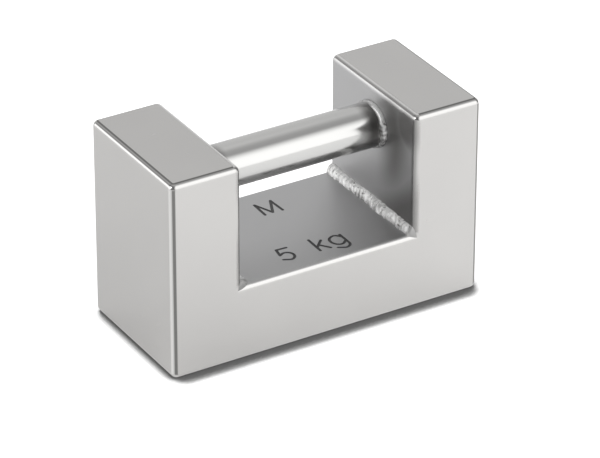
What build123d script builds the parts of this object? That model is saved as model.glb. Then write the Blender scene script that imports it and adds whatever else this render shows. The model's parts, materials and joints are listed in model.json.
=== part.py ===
from build123d import *
import os

# A 5 kg calibration weight: a rectangular block weight, welded up from stainless bar.
# Two tall end blocks stand at the ends of a lower base block, and a tubular handle runs
# between them, over the gap for the hand. The outer seams are groove welds, ground
# flush, so only the beads in the two inner corners and round the handle's ends show.
# The bore of the handle is the adjusting cavity. It holds a few lengths of rod, cut to
# bring the weight to its nominal mass, and it opens through the right end block, where
# a screw plug and a soft seal close it.
#
# Millimetres, +Z up. The origin is the middle of the footprint, in the resting face.
# +X runs along the length, to the end with the adjusting opening. -Y is the front.

# The block
LENGTH = 150.0
WIDTH = 68.0
HEIGHT = 92.0
END_THICK = 33.0      # each end block, along the length
BASE_HIGH = 35.5      # top of the base block
EDGE_R = 2.8          # ground rounding of every outer edge

# The handle
HANDLE_DIA = 20.0
HANDLE_BORE = 12.0    # the adjusting cavity
HANDLE_DROP = 18.5    # axis below the tops of the end blocks
HANDLE_SEAT = 3.0     # how deep the tube stands in each end block

# The welds
GROOVE = 6.0          # bevel on the base block's outer edges, filled and ground flush
BEAD_UP = 3.6         # corner bead: its leg on the end block
BEAD_ALONG = 2.4      # corner bead: its leg on the base block
BEAD_CROWN = 0.3      # swell of the bead past the straight line between its toes
BEAD_SHORT = 0.2      # how far the bead stops short of the front and back faces
BEAD_END_R = 0.8      # rounding of the bead's two ends
RING_OUT = 2.4        # handle bead: its leg on the end block
RING_ALONG = 2.2      # handle bead: its leg on the tube
RING_CROWN = 0.4
RING_FLATS = 4        # cones that make up the handle bead's swollen face

# The adjusting opening, from the right end block's outer face inwards
MOUTH_CHAMFER = 0.6
SEAL_DIA = 20.0
SEAL_DEEP = 5.0       # depth of the recess that holds the seal
SEAL_SUNK = 0.6       # how far the seal lies below the outer face
LOCK_DEEP = 0.8       # groove in the recess wall, which the soft seal is driven into
LOCK_WIDE = 1.6
LOCK_IN = 1.2         # from the recess floor to the groove
PLUG_DIA = 16.0
PLUG_LONG = 12.0
PLUG_CHAMFER = 1.2
SLOT_WIDE = 2.0       # screwdriver slot across the plug
SLOT_DEEP = 2.6

# The adjusting rods
ROD_DIA = 6.0
ROD_LONG = 21.0
ROD_COUNT = 3

SLIP = 0.05           # radial clearance of whatever goes into a round hole

HANDLE_Z = HEIGHT - HANDLE_DROP
INNER_X = LENGTH / 2 - END_THICK          # inner faces of the end blocks
OUTER_X = LENGTH / 2
SEAT_X = INNER_X + HANDLE_SEAT            # bottoms of the handle's two seats
RECESS_X = OUTER_X - SEAL_DEEP            # floor of the seal's recess
SHOULDER_X = RECESS_X - PLUG_LONG         # shoulder that the plug is screwed down on


def turned(*outline):
    """Solid turned about the handle's axis, from its outline in (x, radius) points."""
    (first_x, _), (last_x, _) = outline[0], outline[-1]
    profile = make_face(Polyline((first_x, 0), *outline, (last_x, 0), close=True))
    return Pos(Z=HANDLE_Z) * revolve(Plane.XZ * profile, Axis.X)


def plain_rod(dia, start_x, end_x):
    return turned((start_x, dia / 2), (end_x, dia / 2))


def mirrored(solid):
    """The same piece at the left end."""
    return mirror(solid, about=Plane.YZ)


def ground_block():
    """The whole block as it leaves the grinder: a U, with its outer edges rounded.

    The roundings of the base and of the end blocks meet in a mitre at each inner
    corner, because the seams are ground after welding. The inner corners stay sharp.
    """
    bar = Pos(Z=HEIGHT / 2) * Box(LENGTH, WIDTH, HEIGHT)
    gap = Pos(Z=BASE_HIGH + HEIGHT / 2) * Box(2 * INNER_X, 2 * WIDTH, HEIGHT)
    block = bar - gap
    inner_corners = [
        edge for edge in block.edges().filter_by(Axis.Y)
        if abs(abs(edge.center().X) - INNER_X) < EDGE_R / 2
        and abs(edge.center().Z - BASE_HIGH) < EDGE_R / 2
    ]
    return fillet(block.edges() - ShapeList(inner_corners), EDGE_R)


def slab(block, start_x, end_x):
    """The stretch of the block between two planes across its length."""
    stretch = Pos((start_x + end_x) / 2, 0, HEIGHT / 2)
    return block & stretch * Box(end_x - start_x, 2 * WIDTH, 2 * HEIGHT)


def base_block(block):
    """The base, with its ends bevelled in front, behind and below for the groove weld."""
    half, side = INNER_X, WIDTH / 2
    seen_from_above = Polyline(
        (half, GROOVE - side), (half, side - GROOVE), (half - GROOVE, side),
        (GROOVE - half, side), (-half, side - GROOVE), (-half, GROOVE - side),
        (GROOVE - half, -side), (half - GROOVE, -side), close=True)
    seen_from_front = Polyline(
        (half, GROOVE), (half, HEIGHT), (-half, HEIGHT), (-half, GROOVE),
        (GROOVE - half, 0), (half - GROOVE, 0), close=True)
    plan = extrude(make_face(seen_from_above), HEIGHT)
    front = extrude(Plane.XZ * make_face(seen_from_front), WIDTH, both=True)
    return slab(block, -half, half) & plan & front


def right_end_block(block):
    """End block with the handle's seat and, in line with it, the adjusting opening."""
    bore_r, plug_r, seal_r = HANDLE_BORE / 2, PLUG_DIA / 2, SEAL_DIA / 2
    lock_x = RECESS_X + LOCK_IN
    opening = turned(
        (SEAT_X, bore_r), (SHOULDER_X, bore_r),
        (SHOULDER_X, plug_r), (RECESS_X, plug_r),
        (RECESS_X, seal_r), (lock_x, seal_r),
        (lock_x, seal_r + LOCK_DEEP), (lock_x + LOCK_WIDE, seal_r + LOCK_DEEP),
        (lock_x + LOCK_WIDE, seal_r), (OUTER_X - MOUTH_CHAMFER, seal_r),
        (OUTER_X, seal_r + MOUTH_CHAMFER))
    return slab(block, INNER_X, OUTER_X) - handle_seat() - opening


def left_end_block(block):
    return slab(block, -OUTER_X, -INNER_X) - mirrored(handle_seat())


def handle_seat():
    return plain_rod(HANDLE_DIA + 2 * SLIP, INNER_X, SEAT_X)


def handle_tube():
    return plain_rod(HANDLE_DIA, -SEAT_X, SEAT_X) - plain_rod(HANDLE_BORE, -SEAT_X, SEAT_X)


def crowned(toe, other_toe, crown):
    """Face line of a bead: an arc between its toes, swollen away from the corner."""
    toe, other_toe = Vector(*toe), Vector(*other_toe)
    run = other_toe - toe
    outwards = Vector(-run.Y, run.X).normalized()
    return ThreePointArc(toe, (toe + other_toe) / 2 + outwards * crown, other_toe)


def groove_weld(block, base):
    """Weld metal in the three grooves round the base's right end, ground flush."""
    return slab(block, INNER_X - GROOVE, INNER_X) - base


def corner_weld(block):
    """Bead along the inner corner between the base's top and the right end block.

    It is drawn with its root sunk by the edge rounding, and the block is taken out of
    it, so that its ends lie down over the rounded edges that they run onto.
    """
    top_toe = (INNER_X, BASE_HIGH + BEAD_UP)
    low_toe = (INNER_X - BEAD_ALONG, BASE_HIGH)
    face = crowned(low_toe, top_toe, BEAD_CROWN)
    root = Polyline(
        top_toe, (INNER_X + EDGE_R, top_toe[1]), (INNER_X + EDGE_R, BASE_HIGH - EDGE_R),
        (low_toe[0], BASE_HIGH - EDGE_R), low_toe)
    half_long = WIDTH / 2 - BEAD_SHORT
    bead = extrude(Plane.XZ * make_face(face + root), half_long, both=True)
    return fillet(bead.edges().filter_by(GeomType.CIRCLE), BEAD_END_R) - block


def handle_weld():
    """Bead round the right end of the tube, against the end block's inner face."""
    tube_r = HANDLE_DIA / 2 + SLIP
    tube_toe = (INNER_X - RING_ALONG, tube_r)
    block_toe = (INNER_X, tube_r + RING_OUT)
    face = crowned(tube_toe, block_toe, RING_CROWN)
    steps = [face @ (step / RING_FLATS) for step in range(RING_FLATS + 1)]
    section = Plane.XZ * make_face(Polyline(*steps, (INNER_X, tube_r), close=True))
    return Pos(Z=HANDLE_Z) * revolve(section, Axis.X)


def adjusting_plug():
    """Screw plug, down on its shoulder and level with the floor of the seal's recess."""
    plug_r = PLUG_DIA / 2 - SLIP
    plug = turned(
        (SHOULDER_X, plug_r - PLUG_CHAMFER), (SHOULDER_X + PLUG_CHAMFER, plug_r),
        (RECESS_X, plug_r))
    slot = Pos(RECESS_X, 0, HANDLE_Z) * Box(2 * SLOT_DEEP, PLUG_DIA, SLOT_WIDE)
    return plug - slot


def seal():
    """Soft-metal seal, driven into the recess so that it swells into the lock groove."""
    seal_r = SEAL_DIA / 2 - SLIP
    lock_x, lock_end = RECESS_X + LOCK_IN + SLIP, RECESS_X + LOCK_IN + LOCK_WIDE - SLIP
    return turned(
        (RECESS_X, seal_r), (lock_x, seal_r),
        (lock_x, seal_r + LOCK_DEEP), (lock_end, seal_r + LOCK_DEEP),
        (lock_end, seal_r), (OUTER_X - SEAL_SUNK, seal_r))


def adjusting_rods():
    """Lengths of rod lying end to end on the bottom of the cavity, from its blind end."""
    drop = (HANDLE_BORE - ROD_DIA) / 2 - SLIP
    rod = Pos(Z=-drop) * plain_rod(ROD_DIA, -SEAT_X, ROD_LONG - SEAT_X)
    return Compound(children=[Pos(X=number * (ROD_LONG + SLIP)) * rod
                              for number in range(ROD_COUNT)])


block = ground_block()
base = base_block(block)
groove = groove_weld(block, base)
corner = corner_weld(block)
ring = handle_weld()

pieces = {
    "base_block": base,
    "left_end_block": left_end_block(block),
    "right_end_block": right_end_block(block),
    "handle_tube": handle_tube(),
    "left_groove_weld": mirrored(groove),
    "right_groove_weld": groove,
    "left_corner_weld": mirrored(corner),
    "right_corner_weld": corner,
    "left_handle_weld": mirrored(ring),
    "right_handle_weld": ring,
    "adjusting_plug": adjusting_plug(),
    "seal": seal(),
    "adjusting_rods": adjusting_rods(),
}

os.makedirs("parts", exist_ok=True)
for name, piece in pieces.items():
    export_step(piece, f"parts/{name}.step")
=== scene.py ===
import json
import math

import bpy
import numpy as np
from mathutils import Matrix, Vector

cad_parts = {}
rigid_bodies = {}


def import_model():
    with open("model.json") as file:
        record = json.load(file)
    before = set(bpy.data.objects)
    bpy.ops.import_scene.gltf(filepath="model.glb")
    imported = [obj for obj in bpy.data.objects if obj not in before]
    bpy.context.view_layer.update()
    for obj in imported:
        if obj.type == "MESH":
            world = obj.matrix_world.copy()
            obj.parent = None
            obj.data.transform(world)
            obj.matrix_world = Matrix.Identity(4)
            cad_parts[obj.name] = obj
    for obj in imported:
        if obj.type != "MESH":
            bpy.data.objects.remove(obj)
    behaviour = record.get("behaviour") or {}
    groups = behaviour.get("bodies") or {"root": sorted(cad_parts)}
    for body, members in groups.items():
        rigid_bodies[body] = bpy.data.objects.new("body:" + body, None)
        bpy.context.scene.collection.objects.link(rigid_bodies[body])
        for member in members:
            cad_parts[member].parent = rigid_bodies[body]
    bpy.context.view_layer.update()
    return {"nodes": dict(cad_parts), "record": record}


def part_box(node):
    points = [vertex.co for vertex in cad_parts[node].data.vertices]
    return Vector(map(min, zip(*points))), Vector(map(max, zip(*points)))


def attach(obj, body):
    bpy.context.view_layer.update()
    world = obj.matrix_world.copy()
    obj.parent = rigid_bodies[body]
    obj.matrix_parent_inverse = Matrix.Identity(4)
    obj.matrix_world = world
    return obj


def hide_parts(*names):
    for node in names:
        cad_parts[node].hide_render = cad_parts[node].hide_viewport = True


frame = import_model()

# A 5 kg block weight of welded stainless bar, in metres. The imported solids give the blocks, the
# handle and the adjusting opening. Made here: the rippled weld beads, the marks cut into the base,
# the dented face of the seal, the finishes, the light and the camera.

nodes = frame["nodes"]
MM = 0.001

# Sizes read from the frame, and one that the frame doesn't give
INNER_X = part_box("right_end_block")[0][0]
OUTER_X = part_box("right_end_block")[1][0]
HALF_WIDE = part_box("base_block")[1][1]
BASE_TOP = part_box("base_block")[1][2]
HANDLE_LOW, HANDLE_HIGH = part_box("handle_tube")[0][2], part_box("handle_tube")[1][2]
HANDLE_R = (HANDLE_HIGH - HANDLE_LOW) / 2
HANDLE_Z = (HANDLE_HIGH + HANDLE_LOW) / 2
EDGE_R = 2.8 * MM        # ground rounding of the blocks' edges, as in the CAD


# ---------------------------------------------------------------- shader expressions

class Value:
    """A number socket used in Python arithmetic: each operation adds a Math node."""

    def __init__(self, tree, socket):
        self.tree, self.socket = tree, socket

    def math(self, operation, *others):
        node = self.tree.nodes.new("ShaderNodeMath")
        node.operation = operation
        for slot, term in zip(node.inputs, (self, *others)):
            connect(self.tree, slot, term)
        return Value(self.tree, node.outputs[0])

    def __add__(self, other):
        return self.math("ADD", other)

    def __mul__(self, other):
        return self.math("MULTIPLY", other)

    def __sub__(self, other):
        return self.math("SUBTRACT", other)

    def __rsub__(self, other):
        return self.math("MULTIPLY", -1.0) + other

    def __truediv__(self, other):
        return self.math("DIVIDE", other)

    def __pow__(self, other):
        return self.math("POWER", other)

    def __abs__(self):
        return self.math("ABSOLUTE")

    __radd__ = __add__
    __rmul__ = __mul__


def connect(tree, slot, term):
    """Link a value or a socket to this slot, or write a plain number or colour into it."""
    if isinstance(term, Value):
        term = term.socket
    if isinstance(term, bpy.types.NodeSocket):
        tree.links.new(term, slot)
    else:
        slot.default_value = term


class Shader:
    """The nodes of one material or world."""

    def __init__(self, owner):
        owner.use_nodes = True
        self.tree = owner.node_tree
        self.tree.nodes.clear()

    def node(self, kind, settings=None, **inputs):
        """A node of this kind: its settings first, then its sockets by name, _ for a space."""
        made = self.tree.nodes.new("ShaderNode" + kind)
        for name, setting in (settings or {}).items():
            setattr(made, name, setting)
        for name, term in inputs.items():
            connect(self.tree, made.inputs[name.replace("_", " ")], term)
        return made

    def value(self, made, output=0):
        """One output of a node, for use in arithmetic."""
        return Value(self.tree, made.outputs[output])

    def split(self, vector):
        """The three parts of a vector socket as values."""
        parts = self.node("SeparateXYZ", Vector=vector)
        return [self.value(parts, axis) for axis in "XYZ"]

    def place(self):
        """Where the point is, in the frame of the whole object."""
        return self.node("TexCoord").outputs["Object"]

    def noise(self, scale, stretch=(1, 1, 1), detail=3.0, rough=0.55):
        """Noise from 0 to 1, scale bumps to the metre, drawn out where stretch is small."""
        mapped = self.node("Mapping", Vector=self.place(), Scale=stretch)
        made = self.node("TexNoise", Vector=mapped.outputs[0], Scale=scale, Detail=detail,
                         Roughness=rough)
        return self.value(made)

    def ramp(self, value, low, high, to_low=0.0, to_high=1.0, smooth=False):
        """The value carried from low..high to to_low..to_high, and held outside."""
        kind = "SMOOTHSTEP" if smooth else "LINEAR"
        made = self.node("MapRange", {"interpolation_type": kind, "clamp": True})
        for slot, term in zip(("Value", "From Min", "From Max", "To Min", "To Max"),
                              (value, low, high, to_low, to_high)):
            connect(self.tree, made.inputs[slot], term)
        return self.value(made)

    def blend(self, amount, colour, other):
        """One colour turning into the other."""
        made = self.node("Mix", {"data_type": "RGBA", "clamp_factor": True})
        sockets = [slot for slot in made.inputs if slot.enabled]
        for slot, term in zip(sockets, (amount, colour, other)):
            if isinstance(term, tuple):
                term = (*term, 1.0)
            connect(self.tree, slot, term)
        return next(slot for slot in made.outputs if slot.enabled)

    def bump(self, height, depth):
        """Normal of a surface whose height runs from 0 to 1 over this depth in metres."""
        return self.node("Bump", Strength=1.0, Distance=depth, Height=height).outputs[0]


# ---------------------------------------------------------------- camera

PICTURE = (600, 458)             # pixels across and down
FOCAL = 4053.0                   # pixels
CENTRE = (315.0, 214.0)          # where the camera's axis meets the picture
STANDPOINT = (-0.7695, -1.2874, 0.8835)
AZIMUTH, ELEVATION, ROLL = (math.radians(angle) for angle in (-31.32, 29.31, 0.23))


def from_bearing(bearing, height):
    """Unit vector towards this bearing, from the front towards the right, and this height."""
    return Vector((math.sin(bearing) * math.cos(height), -math.cos(bearing) * math.cos(height),
                   math.sin(height)))


def place_camera():
    """Camera that looks at the weight from above its front left corner, rolled a little."""
    data = bpy.data.cameras.new("camera")
    camera = bpy.data.objects.new("camera", data)
    bpy.context.scene.collection.objects.link(camera)
    bpy.context.scene.camera = camera
    back = from_bearing(AZIMUTH, ELEVATION)
    level = Vector((math.cos(AZIMUTH), math.sin(AZIMUTH), 0.0))
    upright = back.cross(level)
    right = level * math.cos(ROLL) + upright * math.sin(ROLL)
    up = upright * math.cos(ROLL) - level * math.sin(ROLL)
    turn = Matrix((right, up, back)).transposed().to_4x4()
    camera.matrix_world = Matrix.Translation(STANDPOINT) @ turn
    across, down = PICTURE
    data.lens = data.sensor_width * FOCAL / across
    data.shift_x = (across / 2 - CENTRE[0]) / across
    data.shift_y = (CENTRE[1] - down / 2) / across
    data.clip_start = 0.1
    data.clip_end = 20.0


place_camera()

# ---------------------------------------------------------------- light and floor

# Soft lights round the object: bearing from the front towards the right, height above the floor,
# where the glow starts to fade, where it ends (all in degrees), and strength.
SOFT_LIGHTS = {
    "wall at the back right": (155, 22, 13, 62, 0.53),
    "window at the front right": (31, 17, 13, 48, 1.42),
    "ceiling": (92, 85, 7, 46, 0.34),
    "low wall at the back left": (-138, 4, 9, 22, 1.6),
    "soft box at the left": (-102, 16, 10, 30, 1.9),
    "lamp above that": (-76, 33, 4, 13, 2.8),
}
ROOM = 0.21              # glow of the room everywhere else
SOFT = 0.35              # share that matt surfaces get on top, from lamps that metal doesn't show
PAPER = 0.8              # how white the floor is
PAPER_SHINE = 0.475      # glow that the metal sees in it, at the right in front
PAPER_DIM = 0.46         # share of that glow left behind the object, at the left
PAPER_WHITE = 0.75       # glow that the camera sees in it
CONTACT = 8 * MM         # width of the painted contact shadow, a dark seam where the object meets the floor
CONTACT_LEAN = 0.5       # how much wider it is in front than behind
CONTACT_ENDS = 0.12      # how much of its depth is missing at the two ends
CONTACT_OPEN = (0.57, 0.95)      # share of open sky where it is darkest, and where it ends
CONTACT_DARK = 0.75      # how much darker the paper's colour is painted in it
FLOOR_HALF = 3.0         # half the floor's side


def studio():
    """World of soft round lights, each fading from its middle out, over an even glow."""
    world = bpy.data.worlds.new("studio")
    bpy.context.scene.world = world
    s = Shader(world)
    towards = s.node("TexCoord").outputs["Generated"]
    glow = ROOM
    for *angles, strength in SOFT_LIGHTS.values():
        bearing, height, inner, outer = (math.radians(angle) for angle in angles)
        product = s.node("VectorMath", {"operation": "DOT_PRODUCT"})
        connect(s.tree, product.inputs[0], towards)
        connect(s.tree, product.inputs[1], from_bearing(bearing, height))
        glow = glow + s.ramp(s.value(product, "Value"), math.cos(outer), math.cos(inner),
                             0.0, strength, smooth=True)
    path = s.node("LightPath")
    seen = s.value(path, "Is Camera Ray")
    matt = s.value(path, "Is Diffuse Ray")
    lit = s.node("Background", Color=(1, 1, 1, 1),
                 Strength=glow * (1 - seen) * (matt * SOFT + 1) + seen)
    s.node("OutputWorld", Surface=lit.outputs[0])


def floor():
    """Sheet of pale paper. The camera sees it white, with a painted contact shadow round the
    object's foot, darkening its colour where the ambient occlusion closes in.
    """
    mesh = bpy.data.meshes.new("floor")
    square = [(-1, -1), (1, -1), (1, 1), (-1, 1)]
    mesh.from_pydata([(x * FLOOR_HALF, y * FLOOR_HALF, 0) for x, y in square],
                     [], [(0, 1, 2, 3)])
    sheet = bpy.data.objects.new("floor", mesh)
    bpy.context.scene.collection.objects.link(sheet)
    paper = bpy.data.materials.new("paper")
    s = Shader(paper)
    path = s.node("LightPath")
    seen = s.value(path, "Is Camera Ray")
    shone = s.value(path, "Is Glossy Ray")
    leaning = s.node("CombineXYZ", Y=CONTACT_LEAN, Z=1.0)
    nearby = s.node("AmbientOcclusion", {"samples": 8}, Distance=CONTACT,
                    Normal=leaning.outputs[0])
    x, y, _ = s.split(s.place())
    ends = s.ramp(abs(x), OUTER_X - 4 * MM, OUTER_X + 2 * MM, 0.0, CONTACT_ENDS)
    clear = s.ramp(s.value(nearby, "AO") + ends, *CONTACT_OPEN, smooth=True)
    behind = s.ramp(y - x, -0.14, 0.1, PAPER_SHINE, PAPER_SHINE * PAPER_DIM)
    # Painted contact shadow: the paper's colour, as the camera sees it, darkened near the object.
    white = 1 - seen * (1 - clear) * CONTACT_DARK
    matt = s.node("BsdfDiffuse", Color=s.blend(white, (0.0, 0.0, 0.0), (PAPER, PAPER, PAPER)))
    glow = s.node("Emission", Color=(1, 1, 1, 1),
                  Strength=seen * clear * PAPER_WHITE + shone * behind)
    both = s.node("AddShader")
    connect(s.tree, both.inputs[0], matt.outputs[0])
    connect(s.tree, both.inputs[1], glow.outputs[0])
    s.node("OutputMaterial", Surface=both.outputs[0])
    mesh.materials.append(paper)


studio()
floor()
bpy.context.scene.view_settings.view_transform = "Standard"

# ---------------------------------------------------------------- finishes

def finish(name, surface):
    """A material whose surface function fills in its colour, roughness, metal and normal."""
    material = bpy.data.materials.new(name)
    s = Shader(material)
    made = s.node("BsdfPrincipled", **surface(s))
    s.node("OutputMaterial", Surface=made.outputs[0])
    return material


def facing(s):
    """The three parts of the surface's normal."""
    return s.split(s.node("NewGeometry").outputs["Normal"])


def from_axis(s, front=0.0, above=0.0):
    """Distance from the handle's axis, or from a line this far in front of it and above it."""
    _, y, z = s.split(s.place())
    return ((y + front) ** 2.0 + (z - (HANDLE_Z + above)) ** 2.0) ** 0.5


def grain(s):
    """Fine grinding lines: along x on most faces, along y on the faces that look along x."""
    ends = s.ramp(abs(facing(s)[0]), 0.4, 0.9)
    lines_x = s.noise(1400, (0.03, 1, 1), detail=4)
    lines_y = s.noise(1400, (1, 0.03, 1), detail=4)
    return lines_x * (1 - ends) + lines_y * ends


def edge_polish(s):
    """1 along the middle of a rounded edge and 0 on flat faces, by the normal's largest part."""
    x, y, z = (abs(part) for part in facing(s))
    return s.ramp(x.math("MAXIMUM", y).math("MAXIMUM", z), 1.0, 0.75, smooth=True)


def painted_edge_lines(s):
    """Where a dark reflection is painted along the edges, beside the tops and at the front of
    upright edges, and where a highlight is painted next to that. Round the gap between the end
    blocks, where the normal leans to the middle, the tops' edges get the painted highlight and the
    upright ones a plainer, duller painted dark reflection.
    """
    normal = facing(s)
    place = s.split(s.place())
    x, y, z = (abs(part) for part in normal)
    gap = s.ramp(normal[0] * place[0] / INNER_X, -0.03, -0.1)
    upright = s.ramp(z, 0.3, 0.1)
    # Painted dark reflection beside the tops' edges, which round the gap is a painted highlight
    # instead.
    over = s.ramp(z, 0.84, 0.92, smooth=True) * s.ramp(z, 0.99, 0.965, smooth=True)
    over = over * s.ramp(place[2], BASE_TOP + 5 * MM, BASE_TOP + 10 * MM)
    # Painted dark reflection at the front of upright edges.
    beside = s.ramp(y, 0.66, 0.78, smooth=True) * s.ramp(y, 0.975, 0.94, smooth=True)
    # Painted dark reflection on the upright edges round the gap.
    dull = s.ramp(y, 0.995, 0.75) * s.ramp(y, 0.1, 0.45) * 0.62
    # Painted highlight along the upright edges outside the gap.
    painted_glint = s.ramp(x, 0.78, 0.86, smooth=True) * s.ramp(x, 0.995, 0.97, smooth=True)
    dark = (over + beside * upright) * (1 - gap) + dull * upright * gap
    bright = painted_glint * upright * (1 - gap) + over * gap
    return dark, bright


def weld_heat_and_painted_dark(s, cloud):
    """Darker tone on the end blocks' inner faces: tint that the welding left, with painted shade
    over the corner beads and painted dark reflection round the front of the handle and in a patch
    in front of it.
    """
    x, y, z = s.split(s.place())
    inwards = abs(x) - INNER_X
    wall = s.ramp(inwards, -0.5 * MM, 0.0) * s.ramp(inwards, 3 * MM, MM)
    # Painted shade in the corner over the corner beads.
    corner = s.ramp(z + y * 0.7, BASE_TOP + 8 * MM, BASE_TOP - 9 * MM, smooth=True)
    corner = corner * s.ramp(z, BASE_TOP, BASE_TOP + MM)
    ragged = cloud - 0.5
    # Painted dark reflection round the front of the handle.
    ring = s.ramp(from_axis(s) + ragged * (6 * MM), 35 * MM, 18 * MM, smooth=True)
    ring = ring * s.ramp(y, -2 * MM, -20 * MM, smooth=True)
    # Painted dark reflection in a patch in front of the handle.
    off = from_axis(s, front=27 * MM, above=10 * MM) + ragged * (4 * MM)
    patch = s.ramp(off, 13 * MM, 4 * MM, smooth=True)
    return wall * corner.math("MAXIMUM", ring).math("MAXIMUM", patch)


def ground_steel(s):
    """Ground stainless steel. The base's top between the end blocks is rougher, because the belt
    doesn't reach it, and painted darker there as shade.
    """
    lines = grain(s)
    edge = edge_polish(s)
    dark, bright = painted_edge_lines(s)
    cloud = s.noise(24, detail=2)
    heat_and_painted_dark = weld_heat_and_painted_dark(s, cloud)
    x, _, z = s.split(s.place())
    slot = s.ramp(abs(x), INNER_X + MM, INNER_X) * s.ramp(z, BASE_TOP - MM, BASE_TOP - 0.3 * MM)
    scuff = s.ramp(s.noise(260, (0.15, 1, 1), detail=5, rough=0.7), 0.62, 0.8)
    tone = s.blend(cloud, (0.586, 0.578, 0.568), (0.63, 0.621, 0.608))
    tone = s.blend(lines * 0.1, tone, (0.54, 0.535, 0.53))
    # Painted shade on the base's top between the end blocks.
    tone = s.blend(slot * 0.9, tone, (0.525, 0.525, 0.53))
    # Welding tint together with painted shade and painted dark reflection on the end blocks' inner
    # faces.
    tone = s.blend(heat_and_painted_dark * 0.85, tone, (0.20, 0.195, 0.19))
    tone = s.blend(edge * 0.5, tone, (0.66, 0.655, 0.645))
    # Painted highlight along the edges.
    tone = s.blend(bright * 0.7, tone, (0.86, 0.855, 0.845))
    # Painted dark reflection along the edges.
    tone = s.blend(dark * 0.85, tone, (0.13, 0.13, 0.125))
    rough = 0.24 + slot * 0.18 + heat_and_painted_dark * 0.08 + lines * 0.04 + scuff * 0.03 - edge * 0.14
    return {"Base_Color": tone, "Metallic": 1.0, "Roughness": rough,
            "Normal": s.bump(lines + cloud * 2.0, 2.5e-7)}


def drawn_tube(s):
    """Drawn steel tube, darker next to its welds, by the welding's tint and a painted dark
    reflection, most of all at the upper front.
    """
    lines = s.noise(1100, (0.02, 1, 1), detail=4)
    cloud = s.noise(45, (0.4, 1, 1), detail=2)
    x, y, z = s.split(s.place())
    edge = abs(x) + (cloud - 0.5) * 5 * MM
    heat_and_painted_dark = s.ramp(edge, INNER_X - 10 * MM, INNER_X - 5 * MM, smooth=True)
    upper_front = ((z - HANDLE_Z) * 0.57 - y * 0.82) / HANDLE_R
    heat_and_painted_dark = heat_and_painted_dark * s.ramp(upper_front, 0.45, 0.95, 0.5, 1.0)
    tone = s.blend(cloud, (0.60, 0.60, 0.592), (0.635, 0.632, 0.62))
    # Welding tint next to the welds, with a painted dark reflection strongest at the upper front.
    tone = s.blend(heat_and_painted_dark * 0.85, tone, (0.12, 0.115, 0.11))
    rough = 0.13 + lines * 0.07 + heat_and_painted_dark * 0.08
    return {"Base_Color": tone, "Metallic": 1.0, "Roughness": rough,
            "Normal": s.bump(lines + cloud * 6.0, 2e-6)}


def weld_metal(s):
    """Brushed weld metal with fine pits, as dark as the bead's attribute for sooting and painted
    shade says.
    """
    lump = s.noise(900, detail=5, rough=0.65)
    patch = s.noise(260, detail=2)
    pit = s.ramp(s.noise(620, detail=1), 0.33, 0.26)
    soot = s.value(s.node("Attribute", {"attribute_name": "soot"}), "Fac")
    tone = s.blend(patch, (0.74, 0.737, 0.73), (0.92, 0.917, 0.91))
    tone = s.blend(pit * 0.8, tone, (0.16, 0.155, 0.15))
    tone = s.blend(soot, tone, (0.10, 0.098, 0.095))
    rough = 0.26 + lump * 0.14 + pit * 0.25
    return {"Base_Color": tone, "Metallic": 0.7, "Roughness": rough,
            "Normal": s.bump(lump - pit, 8e-5)}


def engraved(s):
    """Blackened ground of the marks."""
    speck = s.noise(1500, detail=3)
    tone = s.blend(speck, (0.085, 0.085, 0.085), (0.16, 0.16, 0.16))
    return {"Base_Color": tone, "Metallic": 1.0, "Roughness": 0.42 + speck * 0.2,
            "Normal": s.bump(speck, 2e-5)}


def turned_brass(s):
    """Brass with fine turning rings round the handle's axis."""
    rings = (from_axis(s) * 14000).math("SINE") * 0.5 + 0.5
    dull = s.noise(300, detail=3)
    tone = s.blend(dull, (0.78, 0.60, 0.30), (0.62, 0.46, 0.24))
    return {"Base_Color": tone, "Metallic": 1.0, "Roughness": 0.24 + rings * 0.08 + dull * 0.1,
            "Normal": s.bump(rings, 4e-6)}


def soft_seal(s):
    """Soft grey metal, hammered dull."""
    grit = s.noise(1200, detail=4)
    dull = s.noise(220, detail=3)
    tone = s.blend(dull, (0.40, 0.405, 0.415), (0.50, 0.505, 0.515))
    return {"Base_Color": tone, "Metallic": 1.0, "Roughness": 0.26 + grit * 0.12 + dull * 0.1,
            "Normal": s.bump(grit + dull, 2.5e-5)}


def rod_steel(s):
    """Plain steel rod with drawing lines and a few spots of rust."""
    lines = s.noise(1300, (0.02, 1, 1), detail=4)
    rust = s.ramp(s.noise(420, detail=4), 0.6, 0.72)
    tone = s.blend(lines, (0.46, 0.46, 0.46), (0.55, 0.55, 0.55))
    tone = s.blend(rust * 0.5, tone, (0.30, 0.24, 0.20))
    return {"Base_Color": tone, "Metallic": 1.0, "Roughness": 0.3 + lines * 0.12 + rust * 0.2,
            "Normal": s.bump(lines, 5e-6)}


finishes = {surface.__name__: finish(surface.__name__, surface)
            for surface in (ground_steel, drawn_tube, weld_metal, turned_brass, soft_seal,
                            rod_steel, engraved)}
finishes["plug_brass"] = finishes["turned_brass"]

for subpart in frame["record"]["subparts"]:
    mesh = nodes[subpart["node"]].data
    mesh.materials.clear()
    mesh.materials.append(finishes[subpart["material_slot"]])


# ---------------------------------------------------------------- surfaces

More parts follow.
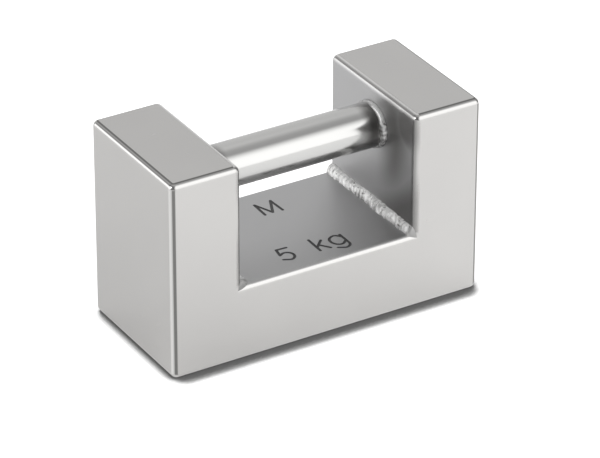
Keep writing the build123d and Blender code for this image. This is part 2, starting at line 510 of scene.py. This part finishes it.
def skin(loops, ends=None, inside_out=False):
    """Mesh over an array of closed sections (stations, points, xyz) that follow a path.

    Quads join each point to the next in its section and to its like in the next section. With no
    ends the path closes on itself. Otherwise ends holds the two points in which it ends, and
    triangles close the first and last sections onto them.
    """
    stations, points = loops.shape[:2]
    index = np.arange(stations * points).reshape(stations, points)
    here, there = (index, np.roll(index, -1, axis=0)) if ends is None else (index[:-1], index[1:])
    quads = np.stack((here, np.roll(here, -1, 1), np.roll(there, -1, 1), there), -1).reshape(-1, 4)
    corners, faces = loops.reshape(-1, 3), quads.tolist()
    if ends is not None:
        first, last = index[0], index[-1]
        tip = stations * points
        corners = np.vstack((corners, ends))
        faces += np.stack((np.roll(first, -1), first, np.full(points, tip)), -1).tolist()
        faces += np.stack((last, np.roll(last, -1), np.full(points, tip + 1)), -1).tolist()
    if inside_out:
        faces = [face[::-1] for face in faces]
    return corners, faces


def make(name, corners, faces, slot, sharp=50, soot=None):
    """Object of this mesh, smooth except over sharp edges, that rides on the whole weight.

    Soot and shade, if given, is how dark each corner is, from 0 to 1, for the finish to read.
    """
    mesh = bpy.data.meshes.new(name)
    mesh.from_pydata(corners.tolist(), [], faces)
    mesh.update()
    mesh.shade_smooth()
    mesh.set_sharp_from_angle(angle=math.radians(sharp))
    mesh.materials.append(finishes[slot])
    if soot is not None:
        mesh.attributes.new("soot", "FLOAT", "POINT").data.foreach_set("value", soot.ravel())
    piece = bpy.data.objects.new(name, mesh)
    bpy.context.scene.collection.objects.link(piece)
    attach(piece, "root")
    return piece


def wander(rng, along, pitch, size):
    """Smooth swing along a path: random heights up to size every pitch, joined by cosines."""
    knots = rng.uniform(-size, size, int(np.ptp(along) / pitch) + 3)
    place = (along - along.min()) / pitch
    left = place.astype(int)
    ease = (1 - np.cos(math.pi * (place - left))) / 2
    return knots[left] * (1 - ease) + knots[left + 1] * ease


BEAD_POINTS = 30             # points across the face of a bead
ROOT = 0.35 * MM             # how far a bead's root reaches into the metal
SOOTY_RIPPLE = 0.35 * MM     # height of a ripple whose dips are quite black


def scallops(phase):
    """Row of ripples, one to a unit of phase: each rises slowly and drops quickly, 0 to 1."""
    part = phase - np.floor(phase)
    return 0.5 - 0.5 * np.cos(2 * math.pi * part ** 1.7)


def lumps(rng, along, across, size, pitch):
    """Fine unevenness: the mean of waves of random direction and phase over a surface."""
    waves = 24
    angle = rng.uniform(0, math.pi, waves)
    turn = rng.uniform(0, 2 * math.pi, waves)
    step = 2 * math.pi / pitch * rng.uniform(0.6, 1.8, waves)
    heights = np.cos(along[..., None] * step * np.cos(angle)
                     + across[..., None] * step * np.sin(angle) + turn)
    return size * heights.mean(-1) * 2.5


def bead_face(low, high, crown, ripple, phase, rough, u):
    """Face of a bead in its section's plane, as two distances out of the inner corner.

    u runs from 0 at the lower toe, low out along the floor of the corner, to 1 at the upper toe,
    high up its wall. The straight line between them is pushed outwards by crown * 4u(1 - u), by
    ripples and by roughness, which both die out at the toes. The third result is the soot in the
    dips between the ripples and along the toes.
    """
    swell = 4 * u * (1 - u)
    wave = scallops(phase)
    push = crown * swell + ripple * wave * swell ** 0.5 + rough * swell ** 0.25
    length = np.hypot(low, high)
    out = low * (1 - u) + push * high / length
    up = high * u + push * low / length
    dips = np.clip(1 - wave / 0.3, 0, 1) * swell * ripple / SOOTY_RIPPLE
    toes = np.clip(1 - swell / 0.2, 0, 1) * (0.1 + 0.6 * u)
    return out, up, np.clip(dips + toes, 0, 1)


def closed_section(out, up, soot, high):
    """Add the root behind the face: from the upper toe, through the corner, to the lower toe."""
    buried = np.full_like(high, -ROOT)
    out = np.concatenate((out, buried, buried), -1)
    up = np.concatenate((up, high * 0.85, buried), -1)
    soot = np.concatenate((soot, np.ones_like(high), np.ones_like(high)), -1)
    return out, up, soot


# Each end's corner bead: its leg on the base and its leg on the end block
LEGS = {1: (2.6 * MM, 4.2 * MM), -1: (3.8 * MM, 2.6 * MM)}
BEAD_SHORT = 0.2 * MM    # how far it stops short of the front and back faces
BEAD_CAP = 1.9 * MM      # length of its rounded ends
BEAD_STEP = 0.13 * MM    # from station to station
BEAD_PITCH = 2.8 * MM    # from ripple to ripple


def corner_bead(side, seed):
    """Bead along the inner corner at one end; side is 1 at the right end and -1 at the left.

    Stations run along y, closer together at the rounded ends, where the section shrinks by
    sqrt(1 - e^2), e being the share of the cap that is used up. Past the start of the blocks'
    edge rounding the corner drops and draws back by R - sqrt(R^2 - d^2), and the bead with it.
    The legs, the crown, the height of the ripples and their spacing all waver along the bead.
    """
    rng = np.random.default_rng(seed)
    half = HALF_WIDE - BEAD_SHORT
    cap = BEAD_CAP * (1 - np.cos(np.linspace(0.12, math.pi / 2, 14)))
    straight = np.arange(BEAD_CAP - half + BEAD_STEP, half - BEAD_CAP, BEAD_STEP)
    y = np.concatenate((cap - half, straight, (half - cap)[::-1]))
    end = np.clip((np.abs(y) - (half - BEAD_CAP)) / BEAD_CAP, 0, 1)
    full = np.sqrt(1 - end ** 2)
    past = np.clip(np.abs(y) - (HALF_WIDE - EDGE_R), 0, EDGE_R * 0.995)
    drop = EDGE_R - np.sqrt(EDGE_R ** 2 - past ** 2)

    def swing(pitch, size):
        return wander(rng, y, pitch * MM, size * MM)

    leg_low, leg_high = LEGS[side]
    low = (leg_low + swing(1.1, 0.36) + swing(7, 0.3) + drop * 0.3) * full
    high = (leg_high + swing(1.5, 0.3) + swing(9, 0.3) + drop * 0.3) * full
    crown = (0.5 * MM + swing(3, 0.16) + drop * 1.1) * full
    shift = swing(4.1, 1.3) + swing(1.9, 0.3)
    ripple = (0.10 * MM + swing(3.3, 0.10)) * full
    y, low, high, crown, shift, ripple, full, drop = (
        row[:, None] for row in (y, low, high, crown, shift, ripple, full, drop))
    u = np.linspace(0, 1, BEAD_POINTS)[None, :]
    bow = 1.5 * MM * (2 * u - 1) ** 2
    phase = (y + shift + bow) / BEAD_PITCH
    rough = lumps(rng, y, u * 4.8 * MM, 0.10 * MM, 1.1 * MM) * full
    out, up, soot = bead_face(low, high, crown, ripple, phase, rough, u)
    # Painted shade at the bead's two ends, deeper at the left end.
    painted_end_shade = 0.66 - side * 0.06
    soot = np.maximum(soot, painted_end_shade * np.clip((np.abs(y) - HALF_WIDE + 3 * MM) / (2 * MM), 0, 1))
    out, up, soot = closed_section(out, up, soot, high)
    x = side * (INNER_X + drop - out)
    z = BASE_TOP - drop + up
    loops = np.stack((x, np.broadcast_to(y, x.shape), z), -1)
    tips = np.array([(side * (INNER_X + drop[0, 0]), tip, BASE_TOP - drop[0, 0])
                     for tip in (-half, half)])
    return *skin(loops, tips, inside_out=side < 0), np.append(soot, (1, 1))


RING_STATIONS = 600      # stations round the handle's bead
RING_RIPPLES = 36


def handle_bead(side, seed):
    """Bead round one end of the tube. It was laid from the front and from behind, so its leg on
    the end block is wide there and narrow above and below: 1.4 + 1.1 cos 2(a - 75 degrees) mm,
    where a is the angle round the tube from the top towards the front. The wavering fades to
    nothing at the top, where the ring closes. The bead is clean on its upper front, apart from
    soot beside the tube, and patchy elsewhere.
    """
    rng = np.random.default_rng(seed)
    a = (np.arange(RING_STATIONS) * 2 * math.pi / RING_STATIONS)[:, None]
    around = a * (HANDLE_R + MM)
    fade = np.sin(a / 2) ** 0.5

    def swing(pitch, size):
        return wander(rng, around, pitch * MM, size) * fade

    high = (1.4 + 1.1 * np.cos(2 * (a - math.radians(75)))) * MM + swing(1.6, 0.22 * MM)
    low = 2.1 * MM + swing(2, 0.3 * MM) + swing(9, 0.35 * MM)
    crown = 0.3 * MM + 0.25 * high
    u = np.linspace(0, 1, BEAD_POINTS)[None, :]
    across = u * 3 * MM
    bow = 0.55 * (2 * u - 1) ** 2
    phase = a * RING_RIPPLES / (2 * math.pi) + bow + swing(7, 0.3)
    rough = lumps(rng, around, across, 0.05 * MM, 0.8 * MM) * fade
    front = np.clip(np.sin(a - math.radians(40)), 0, 1)
    ripple = (0.03 + 0.12 * front) * MM
    out, up, soot = bead_face(low, high, crown, ripple, phase, rough, u)
    patchy = 0.35 + 0.5 * lumps(rng, around, across, 1, 3 * MM)
    from_clean = np.abs((a - 0.4 + math.pi) % (2 * math.pi) - math.pi)
    rear = np.clip((from_clean - 0.5) / 0.5, 0, 1)
    beside_tube = np.clip(1 - u / 0.45, 0, 1)
    soot = np.clip(soot + 0.7 * beside_tube * (1 - rear) + patchy * rear, 0, 0.9)
    out, up, soot = closed_section(out, up, soot, high)
    reach = HANDLE_R + up
    loops = np.stack((side * (INNER_X - out), -reach * np.sin(a), HANDLE_Z + reach * np.cos(a)), -1)
    return *skin(loops, inside_out=side > 0), soot


for side, end in ((1, "right"), (-1, "left")):
    corners, faces, soot = corner_bead(side, 11 + side)
    bead = make(f"{end}_corner_bead", corners, faces, "weld_metal", soot=soot)
    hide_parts(f"{end}_corner_weld")
    corners, faces, soot = handle_bead(side, 23 + side)
    ring = make(f"{end}_handle_bead", corners, faces, "weld_metal", soot=soot)
    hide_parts(f"{end}_handle_weld")


# ---------------------------------------------------------------- seal of the adjusting opening

SEAL_BACK, SEAL_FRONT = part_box("seal")[0][0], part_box("seal")[1][0]
LOCK_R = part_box("seal")[1][1]            # where the seal swells into the lock groove
SEAL_R = LOCK_R - 0.8 * MM
LOCK = (1.2 * MM, 2.8 * MM)      # the lock groove, from the seal's back
SEAL_RIM = 0.4 * MM      # rounding of the seal's front edge
SEAL_STATIONS = 120
BLOWS = 16               # of the hammer
BLOWS_WITHIN = 7.5 * MM  # of the seal's middle


def hammered_seal():
    """Soft-metal seal: its outline turned about the handle's axis, its face dented by blows.

    Each blow is a round dent, deep * (1 - d^2 / w^2)^2 at the distance d from its middle.
    """
    rng = np.random.default_rng(5)
    a = np.arange(SEAL_STATIONS) * 2 * math.pi / SEAL_STATIONS
    groove = SEAL_BACK + np.array(LOCK)
    flat_r, middle_r = SEAL_R - SEAL_RIM, 0.3 * MM
    rings = np.linspace(flat_r, middle_r, 36)
    turn = np.radians(np.arange(15, 90, 15))
    radius = np.concatenate(((middle_r, SEAL_R, SEAL_R, LOCK_R, LOCK_R, SEAL_R, SEAL_R),
                             SEAL_R - SEAL_RIM * (1 - np.cos(turn)), rings))
    x = np.concatenate(((SEAL_BACK, SEAL_BACK), groove[[0, 0, 1, 1]], [SEAL_FRONT - SEAL_RIM],
                        SEAL_FRONT - SEAL_RIM * (1 - np.sin(turn)),
                        np.full_like(rings, SEAL_FRONT)))
    y = radius[:, None] * np.cos(a)
    z = radius[:, None] * np.sin(a)
    from_rim = np.clip((flat_r - radius) / (1.5 * MM), 0, 1)[:, None]
    depth = np.zeros_like(y)
    for _ in range(BLOWS):
        away = BLOWS_WITHIN * rng.uniform() ** 0.5
        bearing = rng.uniform(0, 2 * math.pi)
        wide = rng.uniform(2.0, 3.4) * MM
        deep = rng.uniform(0.10, 0.22) * MM
        apart = (y - away * math.cos(bearing)) ** 2 + (z - away * math.sin(bearing)) ** 2
        depth = np.maximum(depth, deep * np.clip(1 - apart / wide ** 2, 0, 1) ** 2)
    depth = depth * from_rim * (x == SEAL_FRONT)[:, None]
    loops = np.stack((x[:, None] - depth, y, HANDLE_Z + z), -1)
    tips = np.array(((SEAL_BACK, 0, HANDLE_Z), (SEAL_FRONT - depth[-1].mean(), 0, HANDLE_Z)))
    return skin(loops, tips)


seal = make("hammered_seal", *hammered_seal(), "soft_seal", sharp=40)
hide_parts("seal")


# ---------------------------------------------------------------- marks cut into the base

# Strokes in millimetres on the base's top: straight ones by their two ends, curved ones by the
# points that they pass through.
STROKES = {
    "M": [[(-3.0, 13.2), (-2.7, 22.9)], [(-2.7, 22.9), (1.0, 13.6)], [(1.0, 13.6), (5.2, 22.8)],
          [(5.2, 22.8), (5.7, 13.2)]],
    "5": [[(-9.8, -15.5), (-14.5, -15.2)], [(-14.5, -15.2), (-15.4, -20.0)],
          [(-15.4, -20.0), (-13.2, -18.9), (-11.0, -19.6), (-9.9, -21.8), (-10.7, -24.1),
           (-12.7, -25.1), (-15.9, -23.7)]],
    "k": [[(1.6, -14.9), (1.4, -25.0)], [(6.0, -17.6), (1.5, -22.3)], [(3.2, -20.6), (6.5, -25.0)]],
    "g": [[(15.3, -19.6), (12.9, -17.2), (10.0, -18.2), (8.9, -21.0), (10.1, -23.9), (12.7, -24.8),
           (15.3, -22.8)], [(15.4, -17.6), (15.4, -23.0), (15.1, -26.6), (12.6, -28.2),
                            (9.2, -26.6)]],
}
CUTTER_R = 0.8 * MM      # round nose of the engraving cutter
CUT_DEEP = 0.35 * MM
CUTTER_SIDES = 16
STROKE_STEP = 0.5        # from station to station along a stroke, in millimetres
STROKE_SPAN = 3.0        # usual length between two points of a curved stroke
MARKED = (25 * MM, 30 * MM)      # the marks lie this near the top's middle, along x and along y


def smooth_path(points, step):
    """Points every step along a stroke: straight between two points, and otherwise the
    Catmull-Rom curve through them. Between b and c, with a before and d after, that curve is half
    of 2b + (c - a)t + (2a - 5b + 4c - d)t^2 + (3b - a - 3c + d)t^3.
    """
    points = np.array(points, float)
    if len(points) == 2:
        share = np.linspace(0, 1, max(2, int(np.linalg.norm(points[1] - points[0]) / step)))
        return points[0] + (points[1] - points[0]) * share[:, None]
    padded = np.vstack((2 * points[0] - points[1], points, 2 * points[-1] - points[-2]))
    a, b, c, d = padded[:-3], padded[1:-2], padded[2:-1], padded[3:]
    t = np.arange(0, 1, step / STROKE_SPAN)[:, None, None]
    curve = (2 * b + (c - a) * t + (2 * a - 5 * b + 4 * c - d) * t ** 2
             + (3 * b - a - 3 * c + d) * t ** 3) / 2
    return np.vstack((curve.transpose(1, 0, 2).reshape(-1, 2), points[-1:]))


def cutter(points):
    """Round bar that follows a stroke, its axis R less the depth of the cut over the base's top.

    Its ends are domes: R sin t past the end of the stroke, its radius is R cos t.
    """
    path = smooth_path(points, STROKE_STEP) * MM
    heading = np.gradient(path, axis=0)
    heading /= np.linalg.norm(heading, axis=1)[:, None]
    dome = np.radians(np.array((75, 55, 35, 17)))
    reach = CUTTER_R * np.sin(dome)[:, None]
    axis = np.vstack((path[0] - heading[0] * reach, path, path[-1] + heading[-1] * reach[::-1]))
    radius = np.concatenate((np.cos(dome), np.ones(len(path)), np.cos(dome[::-1]))) * CUTTER_R
    heading = np.pad(heading, ((len(dome), len(dome)), (0, 0)), mode="edge")
    side = np.stack((heading[:, 1], -heading[:, 0]), -1)
    angle = np.arange(CUTTER_SIDES) * 2 * math.pi / CUTTER_SIDES
    across = radius[:, None] * np.cos(angle)
    flat = axis[:, None, :] + side[:, None, :] * across[..., None]
    axis_height = BASE_TOP + CUTTER_R - CUT_DEEP
    height = axis_height + radius[:, None] * np.sin(angle)
    loops = np.concatenate((flat, height[..., None]), -1)
    tips = [path[0] - heading[0] * CUTTER_R, path[-1] + heading[-1] * CUTTER_R]
    tips = np.hstack((tips, np.full((2, 1), axis_height)))
    return skin(loops, tips, inside_out=True)


def vectors(items, name):
    """This vector of each item of a mesh, as rows of x, y and z."""
    rows = np.empty(len(items) * 3)
    items.foreach_get(name, rows)
    return rows.reshape(-1, 3)


def finish_base(mesh):
    """Give the cuts their own finish, and every corner of every face its normal.

    Along the block the normal points from the nearest point of the block drawn in by its edge
    rounding. In the cuts it is the mean of the faces that meet in the corner, and on the sloped
    ends the face's own.
    """
    corners = vectors(mesh.vertices, "co")
    centres = vectors(mesh.polygons, "center")
    flat = vectors(mesh.polygons, "normal")
    sizes = np.empty(len(mesh.polygons), int)
    mesh.polygons.foreach_get("loop_total", sizes)
    at = np.empty(len(mesh.loops), int)
    mesh.loops.foreach_get("vertex_index", at)
    deep = BASE_TOP - centres[:, 2]
    cut = (deep > 0.003 * MM) & (deep < CUT_DEEP + 0.1 * MM)
    cut &= (np.abs(centres[:, :2]) < MARKED).all(axis=1)
    mesh.polygons.foreach_set("material_index", cut.astype(int))
    face_of = np.repeat(np.arange(len(sizes)), sizes)
    inner = corners.copy()
    inner[:, 1] = np.clip(inner[:, 1], EDGE_R - HALF_WIDE, HALF_WIDE - EDGE_R)
    inner[:, 2] = np.clip(inner[:, 2], EDGE_R, BASE_TOP - EDGE_R)
    around = corners - inner
    mean = np.zeros_like(corners)
    inside = cut[face_of]
    np.add.at(mean, at[inside], flat[face_of[inside]])
    normals = flat[face_of]
    own = ~inside & (np.abs(normals[:, 0]) < 0.1)
    normals[own] = around[at[own]]
    normals[inside] = mean[at[inside]]
    normals /= np.linalg.norm(normals, axis=1)[:, None]
    mesh.shade_smooth()
    mesh.normals_split_custom_set(normals.tolist())


def engraved_base():
    """The base block with its marks cut into the top by a round-nosed cutter."""
    block = nodes["base_block"]
    mesh = block.data.copy()
    piece = bpy.data.objects.new("marked_base", mesh)
    bpy.context.scene.collection.objects.link(piece)
    tools = bpy.data.collections.new("cutters")
    for strokes in STROKES.values():
        for points in strokes:
            corners, faces = cutter(points)
            bar = bpy.data.meshes.new("cutter")
            bar.from_pydata(corners.tolist(), [], faces)
            tools.objects.link(bpy.data.objects.new("cutter", bar))
    weld = piece.modifiers.new("weld", "WELD")
    weld.merge_threshold = 1e-6
    cut = piece.modifiers.new("cut", "BOOLEAN")
    cut.operation, cut.solver, cut.operand_type = "DIFFERENCE", "EXACT", "COLLECTION"
    cut.collection = tools
    depsgraph = bpy.context.evaluated_depsgraph_get()
    done = bpy.data.meshes.new_from_object(piece.evaluated_get(depsgraph))
    piece.modifiers.clear()
    piece.data = done
    for bar in list(tools.objects):
        bpy.data.objects.remove(bar)
    bpy.data.collections.remove(tools)
    done.materials.clear()
    done.materials.append(finishes["ground_steel"])
    done.materials.append(finishes["engraved"])
    finish_base(done)
    return piece


marked = engraved_base()
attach(marked, "root")
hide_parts("base_block")
